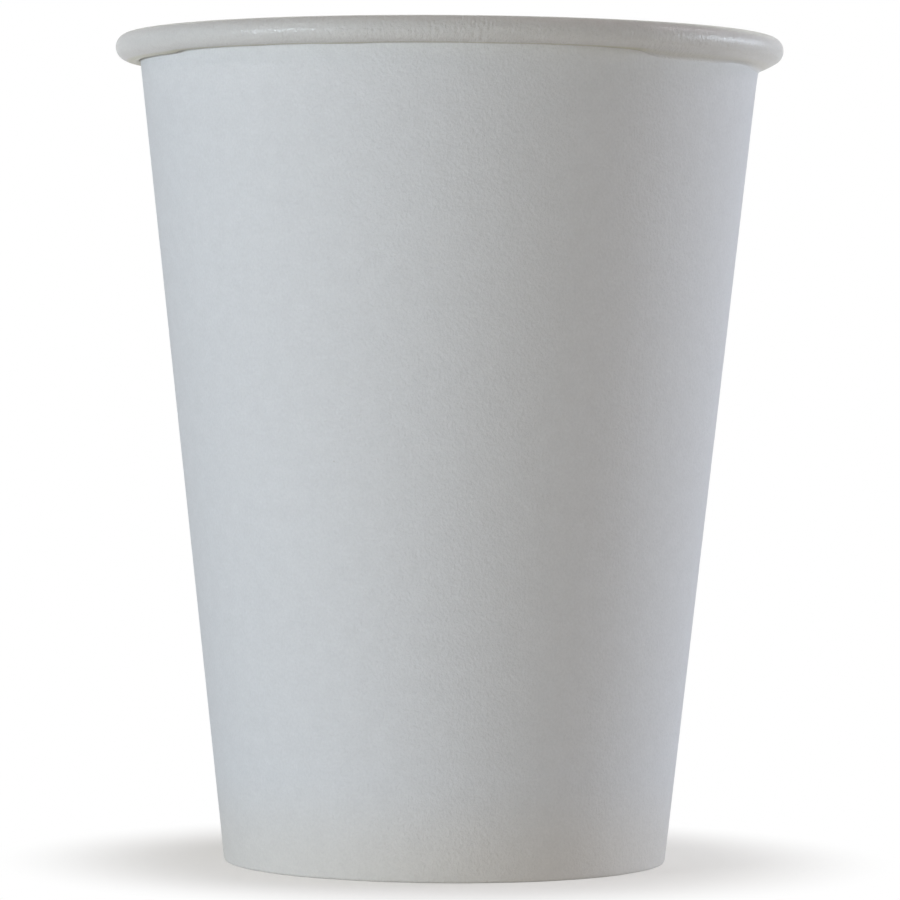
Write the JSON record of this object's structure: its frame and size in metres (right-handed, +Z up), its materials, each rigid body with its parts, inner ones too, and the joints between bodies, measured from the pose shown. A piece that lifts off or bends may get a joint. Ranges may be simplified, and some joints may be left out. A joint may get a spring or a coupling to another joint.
{
  "type": "paper coffee cup",
  "caption": "Plain white single-wall paper cup: tapered wall with a lapped side seam, rolled rim for a lid, and a recessed bottom held in the folded foot.",
  "frame": {"origin": "on the table, at the middle of the foot ring that the cup stands on", "axes": "+Z up along the cup's axis, towards the open rim; the front that the picture shows faces -Y; the side seam is at the back, near +Y"},
  "size_m": [0.09, 0.09, 0.1112],
  "materials": {
    "wall_board": "matte",
    "bottom_board": "matte"
  },
  "bodies": {
    "root": {"cup_wall": "wall_board", "cup_bottom": "bottom_board"}
  },
  "joints": []
}
